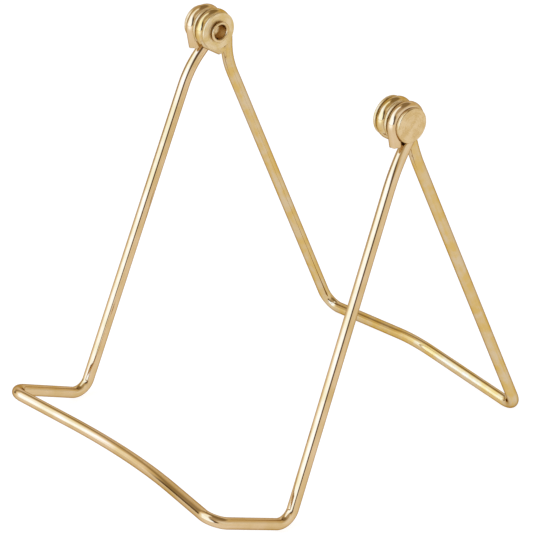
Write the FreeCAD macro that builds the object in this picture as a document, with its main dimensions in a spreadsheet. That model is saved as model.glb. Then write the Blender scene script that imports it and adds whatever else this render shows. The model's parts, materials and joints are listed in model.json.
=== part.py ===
import FreeCAD, Part
import os
from math import cos, pi, radians, sin, sqrt, tan

import Sketcher

# A folding display stand of bent round wire.  The front wire frame is one length of wire: an eye
# at the top of each leg, two legs that lean back, two prongs that rise forward from the floor
# bends, and a front bar dented back towards the legs.  The rear wire frame is a second length,
# narrower, that nests between the front legs.  A semi-tubular rivet pins the two eyes on each
# side, with a spacer washer between the eyes and an end washer under the rolled rivet end.
#
# Each leg is splayed sideways just under its eye, down to the long soft bend at its neck.
#
# Frame: +Z up, front is -Y, right is +X.  The origin is the centre of the footprint on the floor.

Vector = FreeCAD.Vector
Rotation = FreeCAD.Rotation

DIMENSIONS = {
    # wire and hinge
    "wire_diameter": 3.2,
    "hinge_height": 102.0,
    "hinge_setback": 10.86,
    "eye_bend_radius": 4.2,
    "front_eye_halfspan": 41.15,
    "hinge_gap": 0.05,
    # front wire frame
    "front_lean": 22.55,
    "front_leg_offset": 0.45,
    "front_knee_halfspan": 42.2,
    "front_foot_halfspan": 44.7,
    "prong_rise": 22.7,
    "prong_length": 27.2,
    "prong_tip_halfspan": 44.75,
    "front_dent_depth": 8.8,
    "front_dent_radius": 116.0,
    "front_tail_turn": 190.0,
    "front_tail_length": 5.0,
    # rear wire frame
    "rear_lean": 23.4,
    "rear_leg_offset": 0.75,
    "rear_knee_halfspan": 38.2,
    "rear_foot_halfspan": 40.2,
    "rear_peak_height": 6.1,
    "rear_peak_radius": 45.0,
    "rear_tail_turn": 236.0,
    "rear_tail_length": 5.9,
    # bends that both wires share
    "corner_bend_radius": 4.4,
    "neck_bend_angle": 17.3,
    "neck_bend_radius": 32.0,
    "splay_drop": 3.9,
    "splay_bend_radius": 15.0,
    # rivet
    "rivet_head_radius": 4.75,
    "rivet_head_thickness": 1.2,
    "rivet_head_round": 0.35,
    "rivet_shank_radius": 2.35,
    "rivet_bore_radius": 2.0,
    "rivet_bore_depth": 3.0,
    "rivet_roll_radius": 2.95,
    "rivet_roll_height": 1.0,
    "rivet_roll_start": 0.3,
    "rivet_roll_round": 0.3,
    # washers
    "washer_radius": 5.3,
    "washer_bore_radius": 2.45,
    "washer_thickness": 0.8,
    "washer_round": 0.15,
}

SIDES = {"left": -1, "right": 1}

doc = FreeCAD.newDocument("folding_wire_stand")
sheet = doc.addObject("Spreadsheet::Sheet", "Dimensions")
for row, (alias, value) in enumerate(DIMENSIONS.items(), start=1):
    sheet.set("A%d" % row, alias)
    sheet.set("B%d" % row, str(value))
    sheet.setAlias("B%d" % row, alias)
doc.recompute()


def size(alias):
    """The value of one cell of the dimension sheet."""
    return float(sheet.get(alias))


def cell(alias):
    """The name that an expression uses for one cell of the dimension sheet."""
    return "Dimensions." + alias


# ---------------------------------------------------------------- wire paths


def bent_run(points, radii):
    """Edges of straight runs through points, with a tangent arc at each inner point."""
    edges = []
    start = points[0]
    for before, corner, after, radius in zip(points, points[1:], points[2:], radii):
        back = (before - corner).normalize()
        onward = (after - corner).normalize()
        half_angle = back.getAngle(onward) / 2
        reach = radius / tan(half_angle)
        arc_start = corner + back * reach
        arc_end = corner + onward * reach
        inward = (back + onward).normalize()
        arc_middle = corner + inward * (radius / sin(half_angle) - radius)
        edges.append(Part.LineSegment(start, arc_start).toShape())
        edges.append(Part.Arc(arc_start, arc_middle, arc_end).toShape())
        start = arc_end
    edges.append(Part.LineSegment(start, points[-1]).toShape())
    return edges


def around_hinge(x, turn, radius):
    """A point beside the hinge axis; turn is in degrees from the rear (+Y), going over the top."""
    angle = radians(turn)
    y = size("hinge_setback") + radius * cos(angle)
    z = size("hinge_height") + radius * sin(angle)
    return Vector(x, y, z)


def eye_edges(x, neck_turn, tail_turn, tail_length):
    """Tail, then eye, from the free end of the wire to the place where the leg's neck begins."""
    radius = size("eye_bend_radius")
    tail_start = around_hinge(x, tail_turn, radius)
    angle = radians(tail_turn)
    tail_end = tail_start + Vector(0, -sin(angle), cos(angle)) * tail_length
    eye_top = around_hinge(x, (neck_turn + tail_turn) / 2, radius)
    neck = around_hinge(x, neck_turn, radius)
    tail = Part.LineSegment(tail_end, tail_start).toShape()
    eye = Part.Arc(tail_start, eye_top, neck).toShape()
    return [tail, eye]


def neck_corner(x, neck_turn, leg_up, leg_offset):
    """Where the tangent that leaves the eye meets the leg's own line.

    leg_up is the unit vector up the leg, and leg_offset is how far the leg's line passes behind
    the hinge axis.  The eye is larger than that, so the wire bends forward again at this point.
    """
    bend = radians(size("neck_bend_angle"))
    radius = size("eye_bend_radius")
    run = (radius * cos(bend) - leg_offset) / sin(bend)
    angle = radians(neck_turn)
    down = Vector(0, sin(angle), -cos(angle))
    return around_hinge(x, neck_turn, radius) + down * run


def splay_start(x, neck_turn):
    """Where the wire that leaves the eye first turns outward, a short way down its tangent."""
    angle = radians(neck_turn)
    down = Vector(0, sin(angle), -cos(angle))
    return around_hinge(x, neck_turn, size("eye_bend_radius")) + down * size("splay_drop")


def corner_height(first, second, lift):
    """Height of the sharp corner of two runs whose bend just rests its wire on the floor.

    first and second are unit vectors from the corner along its runs, and lift is how steeply
    their plane stands, as the sine of its angle to the floor.
    """
    radius = size("corner_bend_radius")
    half_angle = first.getAngle(second) / 2
    middle = (first + second).normalize()
    centre = size("wire_diameter") / 2 + radius * lift
    return centre - middle.z * radius / sin(half_angle)


def mirrored(points):
    """The points of the right half, then those of the left half in reverse order."""
    left_half = [Vector(-point.x, point.y, point.z) for point in reversed(points)]
    return points[:-1] + left_half


def front_path():
    lean = radians(size("front_lean"))
    rise = radians(size("prong_rise"))
    leg_up = Vector(0, sin(lean), cos(lean))
    prong_out = Vector(0, -cos(rise), sin(rise))
    neck_turn = -size("front_lean") - size("neck_bend_angle")
    eye_x = size("front_eye_halfspan")
    neck_start = around_hinge(eye_x, neck_turn, size("eye_bend_radius"))
    neck = neck_corner(eye_x, neck_turn, leg_up, size("front_leg_offset"))
    foot_z = corner_height(leg_up, prong_out, 1.0)
    foot = neck - leg_up * ((neck.z - foot_z) / leg_up.z)
    neck.x = size("front_knee_halfspan")
    foot.x = size("front_foot_halfspan")
    tip = foot + prong_out * size("prong_length")
    tip.x = size("prong_tip_halfspan")
    dent = tip - prong_out * size("front_dent_depth")
    dent.x = 0
    points = mirrored([neck_start, splay_start(eye_x, neck_turn), neck, foot, tip, dent])
    corner = size("corner_bend_radius")
    outer = [size("splay_bend_radius"), size("neck_bend_radius"), corner, corner]
    radii = outer + [size("front_dent_radius")] + outer[::-1]
    return wire_path(points, radii, neck_turn, size("front_tail_turn"), size("front_tail_length"))


def rear_path():
    lean = radians(size("rear_lean"))
    leg_up = Vector(0, -sin(lean), cos(lean))
    neck_turn = size("rear_lean") - size("neck_bend_angle")
    eye_x = size("front_eye_halfspan") - eye_pitch()
    neck_start = around_hinge(eye_x, neck_turn, size("eye_bend_radius"))
    neck = neck_corner(eye_x, neck_turn, leg_up, size("rear_leg_offset"))
    foot_x = size("rear_foot_halfspan")
    bar_in = (Vector(-foot_x, 0, 0) + leg_up * size("rear_peak_height")).normalize()
    foot_z = corner_height(leg_up, bar_in, cos(lean))
    foot = neck - leg_up * ((neck.z - foot_z) / leg_up.z)
    peak = foot + leg_up * size("rear_peak_height")
    peak.x = 0
    neck.x = size("rear_knee_halfspan")
    foot.x = foot_x
    points = mirrored([neck_start, splay_start(eye_x, neck_turn), neck, foot, peak])
    outer = [size("splay_bend_radius"), size("neck_bend_radius"), size("corner_bend_radius")]
    radii = outer + [size("rear_peak_radius")] + outer[::-1]
    return wire_path(points, radii, neck_turn, size("rear_tail_turn"), size("rear_tail_length"))


def wire_path(points, radii, neck_turn, tail_turn, tail_length):
    """The whole centre line of a wire frame, from its right-hand tail to its left-hand tail."""
    right_eye = eye_edges(points[0].x, neck_turn, tail_turn, tail_length)
    left_eye = eye_edges(points[-1].x, neck_turn, tail_turn, tail_length)
    return Part.Wire(Part.__sortEdges__(right_eye + bent_run(points, radii) + left_eye))


def eye_pitch():
    """Distance between the middle planes of a front eye and the rear eye beside it."""
    return size("wire_diameter") + size("washer_thickness") + 2 * size("hinge_gap")


def wire_frame(name, path):
    """Round wire swept along a centre line."""
    spine = doc.addObject("Part::Feature", name + "_centre_line")
    spine.Shape = path
    first = path.OrderedEdges[0]
    start = path.OrderedVertexes[0].Point
    section = doc.addObject("Part::Circle", name + "_section")
    section.setExpression("Radius", cell("wire_diameter") + " / 2")
    along = first.tangentAt(first.FirstParameter)
    section.Placement = FreeCAD.Placement(start, Rotation(Vector(0, 0, 1), along))
    frame = doc.addObject("Part::Sweep", name)
    frame.Label = name
    frame.Sections = [section]
    frame.Spine = (spine, [])
    frame.Solid = True
    frame.Frenet = False
    return frame


# ---------------------------------------------------------------- hinge hardware


def origin_plane(body, role):
    for feature in body.Origin.OriginFeatures:
        if feature.Role == role:
            return feature
    raise ValueError(role)


def new_sketch(body, name, role):
    sketch = body.newObject("Sketcher::SketchObject", name)
    sketch.AttachmentSupport = [(origin_plane(body, role), "")]
    sketch.MapMode = "FlatFace"
    return sketch


def outline(sketch, corners):
    """A closed outline of straight lines whose corners are tied to the sheet.

    Each corner is a pair of expressions, along and across the sketch's horizontal axis, and
    None stands for a corner that lies on the other axis.
    """
    places = [[0.0 if text is None else evaluate(text) for text in pair] for pair in corners]
    count = len(corners)
    for index in range(count):
        start = Vector(*places[index], 0)
        end = Vector(*places[(index + 1) % count], 0)
        sketch.addGeometry(Part.LineSegment(start, end), False)
    for index in range(count):
        following = (index + 1) % count
        sketch.addConstraint(Sketcher.Constraint("Coincident", index, 2, following, 1))
    kinds = (("DistanceX", -2), ("DistanceY", -1))
    for index, pair in enumerate(corners):
        for (kind, axis), text, value in zip(kinds, pair, places[index]):
            if text is None:
                sketch.addConstraint(Sketcher.Constraint("PointOnObject", index, 1, axis))
                continue
            rule = Sketcher.Constraint(kind, -1, 1, index, 1, value)
            number = sketch.addConstraint(rule)
            sketch.setExpression("Constraints[%d]" % number, text)


def evaluate(text):
    """The present value of an expression made of sheet cells."""
    result = sheet.evalExpression(text.replace("Dimensions.", ""))
    return float(getattr(result, "Value", result))


def circles_at(shape, radius, along):
    """Names of the circular edges of a radius whose centre is that far along the body's axis."""
    names = []
    for number, edge in enumerate(shape.Edges, start=1):
        if edge.Curve.TypeId != "Part::GeomCircle":
            continue
        centre = edge.Curve.Center
        reach = max(abs(centre.x), abs(centre.z))
        if abs(edge.Curve.Radius - radius) < 1e-4 and abs(reach - along) < 1e-4:
            names.append("Edge%d" % number)
    return names


def rounded(body, base, edges, expression):
    fillet = body.newObject("PartDesign::Fillet", base.Name + "_round")
    fillet.Base = (base, edges)
    fillet.setExpression("Radius", expression)
    body.Tip = fillet
    doc.recompute()
    return fillet


def hinge_placement(x, turn):
    centre = Vector(x, size("hinge_setback"), size("hinge_height"))
    return FreeCAD.Placement(centre, turn)


def rivet(side, sign):
    """A semi-tubular rivet: flat head outboard, hollow end rolled over the end washer.

    The body's X axis runs from the face of the head along the shank.
    """
    body = doc.addObject("PartDesign::Body", side + "_rivet")
    body.Label = side + "_rivet"
    profile = new_sketch(body, side + "_rivet_profile", "XY_Plane")
    head = cell("rivet_head_thickness")
    grip = " + 2 * (%s + %s) + 3 * %s" % (
        cell("wire_diameter"), cell("washer_thickness"), cell("hinge_gap"))
    seat = head + grip
    roll = seat + " + " + cell("hinge_gap") + " + " + cell("rivet_roll_start")
    end = seat + " + " + cell("hinge_gap") + " + " + cell("rivet_roll_height")
    bore_end = end + " - " + cell("rivet_bore_depth")
    cone_end = bore_end + " - " + cell("rivet_bore_radius") + " / 2"
    outline(profile, [
        (None, None),
        (None, cell("rivet_head_radius")),
        (head, cell("rivet_head_radius")),
        (head, cell("rivet_shank_radius")),
        (seat + " + " + cell("hinge_gap"), cell("rivet_shank_radius")),
        (roll, cell("rivet_roll_radius")),
        (end, cell("rivet_roll_radius")),
        (end, cell("rivet_bore_radius")),
        (bore_end, cell("rivet_bore_radius")),
        (cone_end, None),
    ])
    turned = body.newObject("PartDesign::Revolution", side + "_rivet_turned")
    turned.Profile = profile
    turned.ReferenceAxis = (profile, ["H_Axis"])
    turned.Angle = 360
    doc.recompute()
    rim = circles_at(turned.Shape, size("rivet_head_radius"), 0)
    face = rounded(body, turned, rim, cell("rivet_head_round"))
    lip = circles_at(face.Shape, size("rivet_roll_radius"), evaluate(end))
    rounded(body, face, lip, cell("rivet_roll_round"))
    head_face = size("wire_diameter") / 2 + size("hinge_gap") + size("rivet_head_thickness")
    turn = Rotation(Vector(0, 0, 1), 180) if sign > 0 else Rotation()
    body.Placement = hinge_placement(sign * (size("front_eye_halfspan") + head_face), turn)
    return body


def washer(name, inner_face):
    """A flat washer; inner_face is the X of its face on the -X side."""
    body = doc.addObject("PartDesign::Body", name)
    body.Label = name
    ring = new_sketch(body, name + "_ring", "XY_Plane")
    for alias in ("washer_radius", "washer_bore_radius"):
        circle = Part.Circle(Vector(0, 0, 0), Vector(0, 0, 1), size(alias))
        index = ring.addGeometry(circle, False)
        ring.addConstraint(Sketcher.Constraint("Coincident", index, 3, -1, 1))
        number = ring.addConstraint(Sketcher.Constraint("Radius", index, size(alias)))
        ring.setExpression("Constraints[%d]" % number, cell(alias))
    blank = body.newObject("PartDesign::Pad", name + "_blank")
    blank.Profile = ring
    blank.setExpression("Length", cell("washer_thickness"))
    doc.recompute()
    rims = []
    for along in (0, size("washer_thickness")):
        rims += circles_at(blank.Shape, size("washer_radius"), along)
    rounded(body, blank, rims, cell("washer_round"))
    upright = Rotation(Vector(0, 0, 1), Vector(1, 0, 0))
    body.Placement = hinge_placement(inner_face, upright)
    return body


# ---------------------------------------------------------------- assembly

parts = [
    wire_frame("front_wire_frame", front_path()),
    wire_frame("rear_wire_frame", rear_path()),
]
wire_radius = size("wire_diameter") / 2
thickness = size("washer_thickness")
spacer_middle = size("front_eye_halfspan") - eye_pitch() / 2
end_middle = size("front_eye_halfspan") - 1.5 * eye_pitch()
for side, sign in SIDES.items():
    parts.append(rivet(side, sign))
    parts.append(washer(side + "_spacer_washer", sign * spacer_middle - thickness / 2))
    parts.append(washer(side + "_end_washer", sign * end_middle - thickness / 2))
doc.recompute()

for item in doc.Objects:
    if "Invalid" in item.State or "Error" in item.State:
        raise RuntimeError("%s did not recompute: %s" % (item.Name, item.State))
for part in parts:
    if part.Shape.isNull() or not part.Shape.isValid():
        raise RuntimeError("%s has no valid shape" % part.Label)
for name in ("front_wire_frame", "rear_wire_frame"):
    solid = doc.getObject(name).Shape
    centre_line = doc.getObject(name + "_centre_line").Shape
    expected = pi * wire_radius ** 2 * centre_line.Length
    if abs(solid.Volume / expected - 1) > 0.005:
        raise RuntimeError("%s: swept volume is off" % name)

os.makedirs("parts", exist_ok=True)
for part in parts:
    part.Shape.exportStep("parts/%s.step" % part.Label)
    box = part.Shape.BoundBox
    print("%-22s %8.1f mm3  x %.2f..%.2f  y %.2f..%.2f  z %.2f..%.2f" % (
        part.Label, part.Shape.Volume, box.XMin, box.XMax, box.YMin, box.YMax,
        box.ZMin, box.ZMax))
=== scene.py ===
import json
from math import atan2, cos, pi, radians, sin, sqrt, tan

import bmesh
import bpy
from mathutils import Matrix, Vector, noise


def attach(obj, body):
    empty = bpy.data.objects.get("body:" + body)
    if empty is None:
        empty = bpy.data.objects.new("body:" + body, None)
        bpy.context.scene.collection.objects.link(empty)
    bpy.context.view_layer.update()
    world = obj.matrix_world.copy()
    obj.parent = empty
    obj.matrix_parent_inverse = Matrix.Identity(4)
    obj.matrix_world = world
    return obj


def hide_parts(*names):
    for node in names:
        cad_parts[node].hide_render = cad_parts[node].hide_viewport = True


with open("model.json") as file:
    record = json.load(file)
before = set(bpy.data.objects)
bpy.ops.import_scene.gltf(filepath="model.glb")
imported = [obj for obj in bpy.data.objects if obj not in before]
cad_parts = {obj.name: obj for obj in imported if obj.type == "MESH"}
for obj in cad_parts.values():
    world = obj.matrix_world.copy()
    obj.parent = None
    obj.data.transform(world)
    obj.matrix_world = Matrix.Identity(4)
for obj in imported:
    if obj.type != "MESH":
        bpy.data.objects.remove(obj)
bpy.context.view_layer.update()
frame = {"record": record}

MM = 0.001

# A folding display stand of bent wire: new meshes for its eight metal pieces, the plating on
# them, and the studio.  +Z is up, the front is -Y, and everything is in metres.

# ------------------------------------------------------------------ measures

# The sizes are those of the CAD part, and the hinge's place comes from its record.
hinge = Vector(frame["record"]["behaviour"]["joints"][0]["pos_m"])

# Each leg leaves its eye on a tangent, turns sideways a little way below (the splay), and bends
# at the neck into its own line, which passes behind the hinge axis by the offset.
WIRE_RADIUS = 1.6 * MM
EYE_BEND = 4.2 * MM
NECK_ANGLE = 17.3
NECK_BEND = 32.0 * MM
SPLAY_DROP = 3.9 * MM
SPLAY_BEND = 15.0 * MM
CORNER_BEND = 4.4 * MM
HINGE_GAP = 0.05 * MM
EYE_PITCH = 4.1 * MM

FRONT_EYE_X = 41.15 * MM
FRONT_KNEE_X = 42.2 * MM
FRONT_LEAN = 22.55
FRONT_OFFSET = 0.45 * MM
FRONT_FOOT_X = 44.7 * MM
PRONG_RISE = 22.7
PRONG_LENGTH = 27.2 * MM
PRONG_TIP_X = 44.75 * MM
DENT_DEPTH = 8.8 * MM
DENT_BEND = 116.0 * MM
FRONT_TAIL_TURN = 190.0
FRONT_TAIL = 5.0 * MM

REAR_LEAN = 23.4
REAR_OFFSET = 0.75 * MM
REAR_KNEE_X = 38.2 * MM
REAR_FOOT_X = 40.2 * MM
REAR_PEAK = 6.1 * MM
REAR_PEAK_BEND = 45.0 * MM
REAR_TAIL_TURN = 236.0
REAR_TAIL = 5.9 * MM

HEAD_RADIUS = 4.75 * MM
HEAD_THICKNESS = 1.2 * MM
SHANK_RADIUS = 2.35 * MM
BORE_RADIUS = 2.0 * MM
BORE_DEPTH = 3.0 * MM
ROLL_RADIUS = 2.95 * MM
ROLL_HEIGHT = 1.0 * MM
HEAD_FLAT = 0.9          # part of the head's radius inside its rounded edge
HEAD_DISH = 0.10 * MM
FACE_EDGE = 0.06 * MM
HEAD_ROUNDING = 0.35 * MM
BACK_ROUNDING = 0.12 * MM

# The rolled rim: its underside as (rise, radius), the round lip, the bell that leads in, then the
# blind bore as (depth, narrowing), and its tip.
ROLL_UNDERSIDE = ((0.12 * MM, SHANK_RADIUS + 0.25 * MM), (0.32 * MM, ROLL_RADIUS - 0.10 * MM))
LIP = 0.34 * MM
BELL_DEPTH = 0.75 * MM
BORE_TAPER = ((1.4 * MM, 0.05 * MM), (BORE_DEPTH, 0.12 * MM), (BORE_DEPTH + 0.35 * MM, 0.3 * MM))
BORE_TIP = BORE_DEPTH + 0.8 * MM

WASHER_RADIUS = 5.3 * MM
WASHER_BORE = 2.45 * MM
WASHER_THICKNESS = 0.8 * MM
RIM_ROUNDING = 0.2 * MM
WASHER_BORE_ROUNDING = 0.08 * MM

RING = 48                # vertices round the wire
TURN = 96                # vertices round a rivet or washer
RUN_STEP = 1.5 * MM      # between rings of the wire on a straight run
BEND_STEP = 4.0          # degrees between rings on a bend
EYE_STEP = 3.0           # degrees between rings round an eye
TAIL_RINGS = 14
UV_PER_METRE = 100

# A cut end is sheared unevenly.  It is drawn back, then bulges out again over rings of these parts
# of the wire's radius.
BURRS = 0.17 * MM
FINE_BURRS = 0.11 * MM
END_SETBACK = 0.25 * MM
END_BULGE = ((0.93, 0.13 * MM), (0.80, 0.22 * MM), (0.55, 0.27 * MM), (0.28, 0.25 * MM))

# The faces of rivets and washers are a little uneven, and each rivet head has a small dent.
WAVES_PER_MM = 0.35
HEAD_WAVE = 0.03 * MM
WASHER_WAVE = 0.02 * MM
NICK_OUT = 4.35 * MM
NICK_UP = 0.2 * MM
NICK_REACH = 0.6 * MM
NICK_DEPTH = 0.22 * MM

# ------------------------------------------------------------------ wire paths


def runs_and_bends(points, bends):
    """Straight runs through points with a tangent arc at each inner one, as a list of pieces."""
    pieces = []
    start = points[0]
    for before, corner, after, bend in zip(points, points[1:], points[2:], bends):
        back = (before - corner).normalized()
        onward = (after - corner).normalized()
        half = back.angle(onward) / 2
        reach = bend / tan(half)
        centre = corner + (back + onward).normalized() * (bend / sin(half))
        enter = corner + back * reach
        leave = corner + onward * reach
        pieces.append(("run", start, enter))
        pieces.append(("bend", centre, enter, leave))
        start = leave
    pieces.append(("run", start, points[-1]))
    return pieces


def sample(pieces, step, bend_step):
    """Points along the pieces, close together on tight bends and further apart on runs."""
    out = []
    for piece in pieces:
        if piece[0] == "run":
            _, start, end = piece
            count = max(1, round((end - start).length / step))
            out += [start.lerp(end, i / count) for i in range(count)]
            last = end
        else:
            _, centre, enter, leave = piece
            spoke = enter - centre
            turn = spoke.angle(leave - centre)
            axis = spoke.cross(leave - centre).normalized()
            count = max(4, round(turn / radians(bend_step)), round(turn * spoke.length / step))
            for i in range(count):
                out.append(centre + Matrix.Rotation(turn * i / count, 3, axis) @ spoke)
            last = leave
    out.append(last)
    return out


def by_hinge(x, turn, radius):
    """A point beside the hinge axis; turn is in degrees from the rear, going over the top."""
    return Vector((x, hinge.y + radius * cos(radians(turn)), hinge.z + radius * sin(radians(turn))))


def eye(x, neck_turn, tail_turn, tail):
    """Points of the tail and the eye, from the wire's free end to the leg's neck."""
    angle = radians(tail_turn)
    start = by_hinge(x, tail_turn, EYE_BEND)
    end = start + Vector((0, -sin(angle), cos(angle))) * tail
    points = [end.lerp(start, i / TAIL_RINGS) for i in range(TAIL_RINGS)]
    count = round(abs(tail_turn - neck_turn) / EYE_STEP)
    for i in range(count):
        points.append(by_hinge(x, tail_turn + (neck_turn - tail_turn) * i / count, EYE_BEND))
    return points


def below_eye(x, neck_turn, run):
    """A point on the tangent that leaves the eye for the leg, run from where it starts."""
    angle = radians(neck_turn)
    return by_hinge(x, neck_turn, EYE_BEND) + Vector((0, sin(angle), -cos(angle))) * run


def neck_corner(x, neck_turn, offset):
    """Where that tangent meets the leg's own line, which passes offset behind the hinge axis."""
    bend = radians(NECK_ANGLE)
    return below_eye(x, neck_turn, (EYE_BEND * cos(bend) - offset) / sin(bend))


def corner_height(first, second, lift):
    """Height of the corner of two runs whose bend rests the wire on the floor.

    lift is the sine of the angle between their plane and the floor.
    """
    half = first.angle(second) / 2
    middle = (first + second).normalized()
    return WIRE_RADIUS + CORNER_BEND * lift - middle.z * CORNER_BEND / sin(half)


def mirrored(points):
    """The points up to the middle one, then the same in reverse on the other side."""
    return points[:-1] + [Vector((-p.x, p.y, p.z)) for p in reversed(points)]


def whole_wire(half_points, outer_bends, middle_bend, neck_turn, tail_turn, tail):
    """The centre line of a wire, from the right tail to the left one."""
    points = mirrored(half_points)
    bends = outer_bends + [middle_bend] + outer_bends[::-1]
    right = eye(points[0].x, neck_turn, tail_turn, tail)
    left = eye(points[-1].x, neck_turn, tail_turn, tail)
    legs_and_bar = sample(runs_and_bends(points, bends), RUN_STEP, BEND_STEP)
    return right + legs_and_bar + list(reversed(left))


def front_centre_line():
    """Tail, eye, leg, prong and dented bar of the front frame, mirrored about X = 0."""
    lean, rise = radians(FRONT_LEAN), radians(PRONG_RISE)
    leg_up = Vector((0, sin(lean), cos(lean)))
    prong_out = Vector((0, -cos(rise), sin(rise)))
    neck_turn = -FRONT_LEAN - NECK_ANGLE
    neck = neck_corner(FRONT_EYE_X, neck_turn, FRONT_OFFSET)
    foot_z = corner_height(leg_up, prong_out, 1.0)
    foot = neck - leg_up * ((neck.z - foot_z) / leg_up.z)
    neck.x = FRONT_KNEE_X
    foot.x = FRONT_FOOT_X
    tip = foot + prong_out * PRONG_LENGTH
    tip.x = PRONG_TIP_X
    dent = tip - prong_out * DENT_DEPTH
    dent.x = 0
    eye_end = below_eye(FRONT_EYE_X, neck_turn, 0)
    splay = below_eye(FRONT_EYE_X, neck_turn, SPLAY_DROP)
    points = [eye_end, splay, neck, foot, tip, dent]
    bends = [SPLAY_BEND, NECK_BEND, CORNER_BEND, CORNER_BEND]
    return whole_wire(points, bends, DENT_BEND, neck_turn, FRONT_TAIL_TURN, FRONT_TAIL)


def rear_centre_line():
    """Tail, eye, leg and peaked floor bar of the rear frame, mirrored about X = 0."""
    lean = radians(REAR_LEAN)
    leg_up = Vector((0, -sin(lean), cos(lean)))
    neck_turn = REAR_LEAN - NECK_ANGLE
    eye_x = FRONT_EYE_X - EYE_PITCH
    neck = neck_corner(eye_x, neck_turn, REAR_OFFSET)
    bar_in = (Vector((-REAR_FOOT_X, 0, 0)) + leg_up * REAR_PEAK).normalized()
    foot_z = corner_height(leg_up, bar_in, cos(lean))
    foot = neck - leg_up * ((neck.z - foot_z) / leg_up.z)
    peak = foot + leg_up * REAR_PEAK
    peak.x = 0
    neck.x = REAR_KNEE_X
    foot.x = REAR_FOOT_X
    eye_end = below_eye(eye_x, neck_turn, 0)
    splay = below_eye(eye_x, neck_turn, SPLAY_DROP)
    points = [eye_end, splay, neck, foot, peak]
    bends = [SPLAY_BEND, NECK_BEND, CORNER_BEND]
    return whole_wire(points, bends, REAR_PEAK_BEND, neck_turn, REAR_TAIL_TURN, REAR_TAIL)


# ------------------------------------------------------------------ meshes


def new_object(name, bm):
    """A smooth-shaded object from a bmesh, in the scene."""
    mesh = bpy.data.meshes.new(name)
    bmesh.ops.recalc_face_normals(bm, faces=bm.faces)
    bm.to_mesh(mesh)
    bm.free()
    mesh.polygons.foreach_set("use_smooth", [True] * len(mesh.polygons))
    obj = bpy.data.objects.new(name, mesh)
    bpy.context.scene.collection.objects.link(obj)
    return obj


def shear(angle, sign):
    """How far a cut end of the wire stands out at an angle round it."""
    return BURRS * cos(2 * angle + sign) + FINE_BURRS * cos(5 * angle + 1.3 * sign)


def ring_round(bm, centre, side, across, part=1.0, cut=None):
    """A ring of vertices at this part of the wire's radius.

    cut is (outward, sign, bulge) at a sheared end, where the ring follows the burrs, less so
    nearer the middle.
    """
    ring = []
    for k in range(RING):
        angle = 2 * pi * k / RING
        spot = centre + (side * cos(angle) + across * sin(angle)) * WIRE_RADIUS * part
        if cut:
            outward, sign, bulge = cut
            burrs = shear(angle, sign) * (0.4 + 0.6 * part)
            spot += outward * (burrs - END_SETBACK + bulge)
        ring.append(bm.verts.new(spot))
    return ring


def join_rings(bm, first, second):
    """Faces between two neighbouring rings."""
    faces = []
    for k in range(RING):
        j = (k + 1) % RING
        faces.append(bm.faces.new((first[k], first[j], second[j], second[k])))
    return faces


def wire_mesh(name, line):
    """Round wire along a centre line, with sheared, slightly rounded ends."""
    bm = bmesh.new()
    uv = bm.loops.layers.uv.new("along_wire")
    last = len(line) - 1
    ends = {0: -1.0, last: 1.0}
    side = Vector((1, 0, 0))
    rings, frames, lengths = [], [], [0.0]
    for i, point in enumerate(line):
        tangent = (line[min(i + 1, last)] - line[max(i - 1, 0)]).normalized()
        side = (side - tangent * side.dot(tangent)).normalized()
        across = tangent.cross(side)
        cut = (tangent * ends[i], ends[i], 0.0) if i in ends else None
        rings.append(ring_round(bm, point, side, across, cut=cut))
        frames.append((tangent, side, across))
        if i:
            lengths.append(lengths[-1] + (point - line[i - 1]).length)
    for i in range(last):
        for k, face in enumerate(join_rings(bm, rings[i], rings[i + 1])):
            corners = ((k, i), (k + 1, i), (k + 1, i + 1), (k, i + 1))
            for loop, (u, v) in zip(face.loops, corners):
                loop[uv].uv = (u / RING, lengths[v] * UV_PER_METRE)
    for i, sign in ends.items():
        tangent, side, across = frames[i]
        ring = rings[i]
        for part, bulge in END_BULGE:
            smaller = ring_round(bm, line[i], side, across, part, (tangent * sign, sign, bulge))
            join_rings(bm, ring, smaller)
            ring = smaller
        bm.faces.new(ring)
    return new_object(name, bm)


def turned_mesh(name, profile, matrix, wave, seed, nick=None):
    """A profile of (along, radius) points turned about the local X axis.

    wave is how uneven its faces are, seed picks the unevenness, and nick is a place on the face
    at X = 0 where the metal is dented.
    """
    bm = bmesh.new()
    uv = bm.loops.layers.uv.new("along_wire")
    rings = []
    for along, radius in profile:
        if radius == 0:
            rings.append([bm.verts.new((along, 0, 0))])
            continue
        ring = []
        for k in range(TURN):
            angle = 2 * pi * k / TURN
            spot = Vector((along, radius * cos(angle), radius * sin(angle)))
            place = Vector((seed, spot.y / MM * WAVES_PER_MM, spot.z / MM * WAVES_PER_MM))
            spot.x += wave * noise.noise(place)
            if nick:
                spot.x += NICK_DEPTH * max(0.0, 1 - (spot - nick).length / NICK_REACH)
            ring.append(bm.verts.new(spot))
        rings.append(ring)
    for i in range(len(rings) - 1):
        a, b = rings[i], rings[i + 1]
        for k in range(TURN):
            j = (k + 1) % TURN
            if len(a) == 1:
                face = bm.faces.new((a[0], b[j], b[k]))
            elif len(b) == 1:
                face = bm.faces.new((a[k], a[j], b[0]))
            else:
                face = bm.faces.new((a[k], a[j], b[j], b[k]))
            for loop in face.loops:
                x, y, z = loop.vert.co
                loop[uv].uv = (atan2(z, y) / (2 * pi) + 0.5, sqrt(y * y + z * z) * UV_PER_METRE)
    obj = new_object(name, bm)
    obj.matrix_world = matrix
    return obj


def rounded_step(profile, corner, before, after, radius, count=5):
    """Adds a quarter-round at a corner of a turned profile."""
    corner, before, after = Vector(corner), Vector(before), Vector(after)
    back = (before - corner).normalized()
    onward = (after - corner).normalized()
    centre = corner + (back + onward) * radius
    for i in range(count + 1):
        angle = pi / 2 * i / count
        spot = centre - onward * radius * cos(angle) - back * radius * sin(angle)
        profile.append((spot.x, spot.y))


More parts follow.
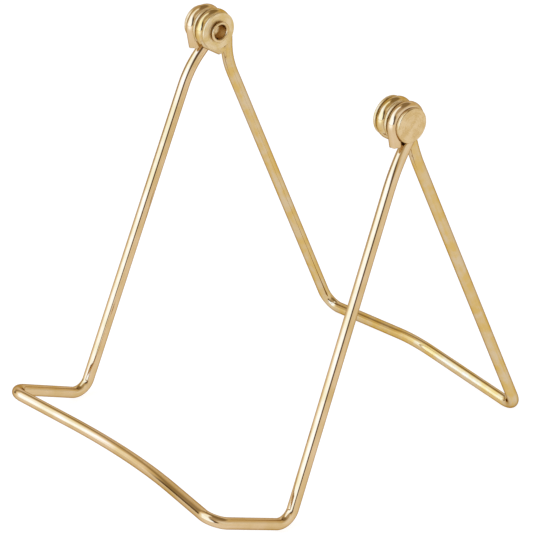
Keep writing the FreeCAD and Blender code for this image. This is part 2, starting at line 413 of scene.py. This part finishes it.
def rivet_profile():
    """Head face at 0, hollow end at the far end, all along +X."""
    grip = 2 * (2 * WIRE_RADIUS + WASHER_THICKNESS) + 3 * HINGE_GAP
    seat = HEAD_THICKNESS + grip
    end = seat + HINGE_GAP + ROLL_HEIGHT
    brim = ROLL_RADIUS - LIP
    profile = []
    for i in range(12):
        part = HEAD_FLAT * i / 11
        profile.append((HEAD_DISH * part ** 2, HEAD_RADIUS * part))
    rounded_step(profile, (FACE_EDGE, HEAD_RADIUS), (FACE_EDGE, 0), (1, HEAD_RADIUS),
                 HEAD_ROUNDING)
    rounded_step(profile, (HEAD_THICKNESS, HEAD_RADIUS), (0, HEAD_RADIUS), (HEAD_THICKNESS, 0),
                 BACK_ROUNDING, 3)
    profile.append((HEAD_THICKNESS, SHANK_RADIUS))
    profile.append((seat + HINGE_GAP, SHANK_RADIUS))
    for rise, radius in ROLL_UNDERSIDE:
        profile.append((seat + rise, radius))
    for i in range(10):
        angle = pi / 2 * i / 9
        profile.append((end - LIP + LIP * sin(angle), brim + LIP * cos(angle)))
    for i in range(1, 9):
        angle = pi / 2 * i / 8
        inward = (brim - BORE_RADIUS) * sin(angle)
        profile.append((end - BELL_DEPTH * (1 - cos(angle)), brim - inward))
    for depth, narrowing in BORE_TAPER:
        profile.append((end - depth, BORE_RADIUS - narrowing))
    profile.append((end - BORE_TIP, 0))
    return profile


def washer_profile():
    """A flat ring centred on 0 along X, closed on itself."""
    half = WASHER_THICKNESS / 2
    profile = []
    corners = ((-half, WASHER_BORE), (-half, WASHER_RADIUS), (half, WASHER_RADIUS),
               (half, WASHER_BORE))
    for i, corner in enumerate(corners):
        along, radius = corner
        following = corners[(i + 1) % 4]
        rounding = RIM_ROUNDING if radius == WASHER_RADIUS else WASHER_BORE_ROUNDING
        rounded_step(profile, corner, corners[i - 1], following, rounding, 4)
        if along == following[0]:
            for t in (0.25, 0.5, 0.75):
                profile.append((along, radius + (following[1] - radius) * t))
    profile.append(profile[0])
    return profile


# ------------------------------------------------------------------ materials


def arithmetic(tree, operation, *values):
    """A maths node whose inputs are sockets or plain numbers."""
    node = tree.nodes.new("ShaderNodeMath")
    node.operation = operation
    for socket, value in zip(node.inputs, values):
        if isinstance(value, (int, float)):
            socket.default_value = value
        else:
            tree.links.new(value, socket)
    return node.outputs[0]


def noise_at(tree, place, scale, detail):
    """A noise texture, from about 0 to about 1 and 0.5 on average."""
    node = tree.nodes.new("ShaderNodeTexNoise")
    node.inputs["Scale"].default_value = scale
    node.inputs["Detail"].default_value = detail
    tree.links.new(place, node.inputs["Vector"])
    return node.outputs["Fac"]


EDGE_TINT = (0.45, 0.30, 0.17, 1)   # of the metal at grazing angles
LINES_SHARE = 0.6                   # weight of the fine lines against the mottling
MIDDLE = 0.5 + 0.5 * LINES_SHARE    # the average of both together
HAZE_SPREAD = 0.3
PEEL_SCALE = 1400.0


def gold(name, deep, pale, rough, relief, streaks, patches, spread):
    """Bright plated metal: two golds mixed by slow mottling, with fine lines and orange peel.

    rough is the roughness of the deep and of the pale gold, relief the height of the peel, and
    streaks how close the fine lines are round the wire and along it.
    """
    material = bpy.data.materials.new(name)
    material.use_nodes = True
    tree = material.node_tree
    nodes, links = tree.nodes, tree.links
    shader = nodes["Principled BSDF"]
    shader.inputs["Metallic"].default_value = 1.0
    shader.inputs["Specular Tint"].default_value = EDGE_TINT

    place = nodes.new("ShaderNodeTexCoord").outputs["Object"]
    surface = nodes.new("ShaderNodeUVMap")
    surface.uv_map = "along_wire"
    lines_place = nodes.new("ShaderNodeMapping")
    lines_place.inputs["Scale"].default_value = (*streaks, 1.0)
    links.new(surface.outputs["UV"], lines_place.inputs["Vector"])
    lines = noise_at(tree, lines_place.outputs["Vector"], 1.0, 2.0)
    mottle = noise_at(tree, place, patches, 3.0)
    mixed = arithmetic(tree, "MULTIPLY_ADD", lines, LINES_SHARE, mottle)

    tint = nodes.new("ShaderNodeValToRGB")
    for stop, position, colour in zip(tint.color_ramp.elements, (MIDDLE - spread, MIDDLE + spread),
                                      (deep, pale)):
        stop.position = position
        stop.color = (*colour, 1)
    links.new(mixed, tint.inputs["Fac"])
    links.new(tint.outputs["Color"], shader.inputs["Base Color"])

    haze = nodes.new("ShaderNodeMapRange")
    haze.inputs["From Min"].default_value = MIDDLE - HAZE_SPREAD
    haze.inputs["From Max"].default_value = MIDDLE + HAZE_SPREAD
    haze.inputs["To Min"].default_value = rough[0]
    haze.inputs["To Max"].default_value = rough[1]
    links.new(mixed, haze.inputs["Value"])
    links.new(haze.outputs["Result"], shader.inputs["Roughness"])

    peel = noise_at(tree, place, PEEL_SCALE, 2.0)
    bump = nodes.new("ShaderNodeBump")
    bump.inputs["Distance"].default_value = relief
    links.new(arithmetic(tree, "ADD", peel, lines), bump.inputs["Height"])
    links.new(bump.outputs["Normal"], shader.inputs["Normal"])
    return material


DEEP_GOLD = (0.60, 0.42, 0.19)
PALE_GOLD = (0.68, 0.50, 0.30)
REAR_DEEP_GOLD = (0.62, 0.42, 0.14)
REAR_PALE_GOLD = (0.62, 0.48, 0.29)
RIVET_PALE_GOLD = (0.69, 0.52, 0.29)
WASHER_DEEP_GOLD = (0.63, 0.46, 0.20)
WASHER_PALE_GOLD = (0.72, 0.57, 0.34)

front_gold = gold("front_wire_gold", DEEP_GOLD, PALE_GOLD, rough=(0.03, 0.10), relief=0.5e-6,
                  streaks=(10.0, 0.35), patches=160.0, spread=0.2)
rear_gold = gold("rear_wire_gold", REAR_DEEP_GOLD, REAR_PALE_GOLD, rough=(0.03, 0.11),
                 relief=0.8e-6, streaks=(9.0, 0.5), patches=260.0, spread=0.15)
rivet_gold = gold("rivet_gold", DEEP_GOLD, RIVET_PALE_GOLD, rough=(0.22, 0.36), relief=2.0e-6,
                  streaks=(3.0, 30.0), patches=420.0, spread=0.12)
washer_gold = gold("washer_gold", WASHER_DEEP_GOLD, WASHER_PALE_GOLD, rough=(0.34, 0.48),
                   relief=1.5e-6, streaks=(3.0, 30.0), patches=420.0, spread=0.12)

# ------------------------------------------------------------------ the stand


def fit(obj, material, body, node):
    """Gives a mesh its material and its place in the frame."""
    obj.data.materials.append(material)
    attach(obj, body)
    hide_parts(node)


front_wire = wire_mesh("front_wire", front_centre_line())
fit(front_wire, front_gold, "front_frame", "front_wire_frame")
rear_wire = wire_mesh("rear_wire", rear_centre_line())
fit(rear_wire, rear_gold, "rear_frame", "rear_wire_frame")

head_face_x = FRONT_EYE_X + WIRE_RADIUS + HINGE_GAP + HEAD_THICKNESS

for side, sign in (("left", -1), ("right", 1)):
    turn = Matrix.Rotation(pi if sign > 0 else 0.0, 4, "Z")
    place = Matrix.Translation((sign * head_face_x, hinge.y, hinge.z)) @ turn
    nick = Vector((0, sign * NICK_OUT, NICK_UP))
    rivet = turned_mesh(side + "_rivet_metal", rivet_profile(), place, HEAD_WAVE, 3.0 + sign, nick)
    fit(rivet, rivet_gold, "front_frame", side + "_rivet")
    for kind, pitches in (("spacer", 0.5), ("end", 1.5)):
        washer_x = FRONT_EYE_X - pitches * EYE_PITCH
        place = Matrix.Translation((sign * washer_x, hinge.y, hinge.z))
        name = side + "_" + kind + "_washer"
        washer = turned_mesh(name + "_metal", washer_profile(), place, WASHER_WAVE, pitches + sign)
        fit(washer, washer_gold, "front_frame", name)

# ------------------------------------------------------------------ studio


def direction(azimuth, elevation):
    """Unit vector from the stand; azimuth 0 is the front (-Y), 90 is the right (+X)."""
    az, el = radians(azimuth), radians(elevation)
    return Vector((sin(az) * cos(el), -cos(az) * cos(el), sin(el)))


# The room, as radiance in red, green and blue.  The lamp is bluer than the walls.
LAMP = (1.58, 2.08, 3.30)
SCRIM = (1.34, 1.50, 1.80)
SCRIM_RIM = (1.20, 1.22, 1.20)
WALL = (1.10, 1.18, 1.35)
BACK_WALL = (0.96, 0.96, 0.96)
PAPER = (1.04, 1.04, 1.08)
GLOOM = (0.62, 0.53, 0.40)
CORNER = (0.84, 0.72, 0.48)
FLAG = (0.17, 0.12, 0.08)
LEFT_FLAG = (0.42, 0.34, 0.21)
SHADE = (0.34, 0.26, 0.15)
LAMP_TOP = (1.42, 1.75, 2.40)
PEAK = 3.3   # the brightest of them; the nodes hold colours as parts of it

# The room all round, by azimuth: near the level of the table, above it, and overhead.
LOW_ROUND = ((-180, BACK_WALL), (-150, PAPER), (-80, PAPER), (-71, FLAG), (-62, FLAG),
             (-55, SCRIM_RIM), (-42, SCRIM), (-26, LAMP), (30, LAMP), (40, FLAG), (55, FLAG),
             (64, PAPER), (90, WALL), (130, WALL), (150, BACK_WALL))
HIGH_ROUND = ((-180, CORNER), (-160, CORNER), (-140, PAPER), (-110, PAPER), (-92, CORNER),
              (-80, GLOOM), (-72, LEFT_FLAG), (-65, LEFT_FLAG), (-59, CORNER), (-48, SCRIM_RIM),
              (-38, SCRIM), (-26, LAMP), (26, LAMP), (42, FLAG), (56, FLAG),
              (68, CORNER), (90, WALL), (130, BACK_WALL), (160, CORNER))
TOP_ROUND = ((-180, SHADE), (-86, SHADE), (-72, GLOOM), (-50, CORNER), (-36, SCRIM_RIM),
             (-20, LAMP_TOP), (28, LAMP_TOP), (46, GLOOM), (120, GLOOM), (165, SHADE))

# Elevations, in degrees, over which one of these gives way to another, or to a white table.
LOW_TO_TABLE = (-4.0, -10.0)
LOW_TO_HIGH = (8.0, 22.0)
HIGH_TO_TOP = (32.0, 48.0)

# The lamp and its flags lean over to the left by this many degrees for each one above the start.
LEAN_START = 14.0
LEAN = 0.9


def span(tree, value, start, end):
    """0 up to start, 1 from end, smooth between."""
    node = tree.nodes.new("ShaderNodeMapRange")
    node.interpolation_type = "SMOOTHSTEP"
    node.inputs["From Min"].default_value = start
    node.inputs["From Max"].default_value = end
    tree.links.new(value, node.inputs["Value"])
    return node.outputs["Result"]


def shade(radiance):
    """A node's colour for a radiance, as part of the peak."""
    return (*[channel / PEAK for channel in radiance], 1)


def round_ramp(tree, azimuth, stops):
    """The room's colour at an azimuth of 0 to 1, from (degrees, radiance) stops."""
    ramp = tree.nodes.new("ShaderNodeValToRGB")
    ramp.color_ramp.interpolation = "LINEAR"
    elements = ramp.color_ramp.elements
    elements.remove(elements[1])
    for number, (angle, tint) in enumerate(stops):
        place = (angle + 180) / 360
        element = elements[0] if number == 0 else elements.new(place)
        element.position = place
        element.color = shade(tint)
    tree.links.new(azimuth, ramp.inputs["Fac"])
    return ramp.outputs["Color"]


def blend(tree, factor, first, second):
    """The first colour where factor is 0 and the second where it is 1; sockets or radiances."""
    node = tree.nodes.new("ShaderNodeMix")
    node.data_type = "RGBA"
    tree.links.new(factor, node.inputs[0])
    for socket, value in ((node.inputs[6], first), (node.inputs[7], second)):
        if isinstance(value, tuple):
            socket.default_value = shade(value)
        else:
            tree.links.new(value, socket)
    return node.outputs[2]


world = bpy.data.worlds.new("studio")
bpy.context.scene.world = world
world.use_nodes = True
sky = world.node_tree
gaze = sky.nodes.new("ShaderNodeTexCoord").outputs["Generated"]
parts = sky.nodes.new("ShaderNodeSeparateXYZ")
sky.links.new(gaze, parts.inputs[0])
forward = arithmetic(sky, "MULTIPLY", parts.outputs["Y"], -1.0)
turned = arithmetic(sky, "ARCTAN2", parts.outputs["X"], forward)
azimuth = arithmetic(sky, "DIVIDE", turned, 2 * pi)
elevation = arithmetic(sky, "MULTIPLY", arithmetic(sky, "ARCSINE", parts.outputs["Z"]), 180 / pi)
above = arithmetic(sky, "MAXIMUM", arithmetic(sky, "SUBTRACT", elevation, LEAN_START), 0.0)
leaned = arithmetic(sky, "MULTIPLY_ADD", above, LEAN / 360, azimuth)
around = arithmetic(sky, "ADD", leaned, 0.5)
low = round_ramp(sky, around, LOW_ROUND)
high = round_ramp(sky, around, HIGH_ROUND)
top = round_ramp(sky, around, TOP_ROUND)
room = blend(sky, span(sky, elevation, *LOW_TO_HIGH), low, high)
room = blend(sky, span(sky, elevation, *HIGH_TO_TOP), room, top)
room = blend(sky, span(sky, elevation, *LOW_TO_TABLE), room, PAPER)
sky.links.new(room, sky.nodes["Background"].inputs["Color"])
sky.nodes["Background"].inputs["Strength"].default_value = PEAK

TABLE_RADIUS = 1.2
TABLE_GREY = (0.25, 0.25, 0.25, 1)
TABLE_GLOW = (0.86, 0.86, 0.86)
TABLE_DROP = 0.2 * MM

# A pool of lamp light is painted on the table in front of the stand: near this centre the table's
# glow turns brighter and takes the lamp's bluer tint.
PAINTED_POOL_TINT = (1.30, 1.62, 2.30)
PAINTED_POOL_CENTRE = (0.03, -0.62, 0)
PAINTED_POOL_EDGE = 0.52
PAINTED_POOL_FULL = 0.20

floor_bm = bmesh.new()
bmesh.ops.create_circle(floor_bm, cap_ends=True, segments=96, radius=TABLE_RADIUS)
floor = new_object("floor", floor_bm)
floor.location.z = -TABLE_DROP
floor_paint = bpy.data.materials.new("floor_paint")
floor_paint.use_nodes = True
paint = floor_paint.node_tree
floor_shader = paint.nodes["Principled BSDF"]
floor_shader.inputs["Base Color"].default_value = TABLE_GREY
floor_shader.inputs["Roughness"].default_value = 0.9
floor_shader.inputs["Specular IOR Level"].default_value = 0.1
floor_shader.inputs["Emission Strength"].default_value = PEAK
from_painted_pool = paint.nodes.new("ShaderNodeVectorMath")
from_painted_pool.operation = "DISTANCE"
from_painted_pool.inputs[1].default_value = PAINTED_POOL_CENTRE
floor_place = paint.nodes.new("ShaderNodeTexCoord").outputs["Object"]
paint.links.new(floor_place, from_painted_pool.inputs[0])
near_painted_pool = span(paint, from_painted_pool.outputs["Value"], PAINTED_POOL_EDGE, PAINTED_POOL_FULL)
# Painted pool of lamp light: the table's even glow blends into the brighter lamp tint near the
# centre.
glow = blend(paint, near_painted_pool, TABLE_GLOW, PAINTED_POOL_TINT)
paint.links.new(glow, floor_shader.inputs["Emission Color"])
floor.data.materials.append(floor_paint)

# ------------------------------------------------------------------ camera

# Angles are in degrees, and the lens and its sensor in millimetres.
AZIMUTH, ELEVATION, ROLL = 50.61, 27.64, -0.21
VIEW_DISTANCE = 0.86277
LENS, SENSOR = 215.489, 36.0
AIM_LEFT = 9.35 * MM
AIM_DOWN = 6.01 * MM

back = direction(AZIMUTH, ELEVATION)
right = Vector((cos(radians(AZIMUTH)), sin(radians(AZIMUTH)), 0))
up = back.cross(right)
aim = Vector((0, hinge.y, hinge.z / 2)) - right * AIM_LEFT - up * AIM_DOWN
tilt = Matrix.Rotation(radians(ROLL), 3, back)
camera_data = bpy.data.cameras.new("camera")
camera_data.sensor_width = SENSOR
camera_data.lens = LENS
camera = bpy.data.objects.new("camera", camera_data)
bpy.context.scene.collection.objects.link(camera)
camera.location = aim + back * VIEW_DISTANCE
camera.rotation_euler = (tilt @ Matrix((right, up, back)).transposed()).to_euler()
bpy.context.scene.camera = camera

bpy.context.scene.view_settings.view_transform = "Standard"
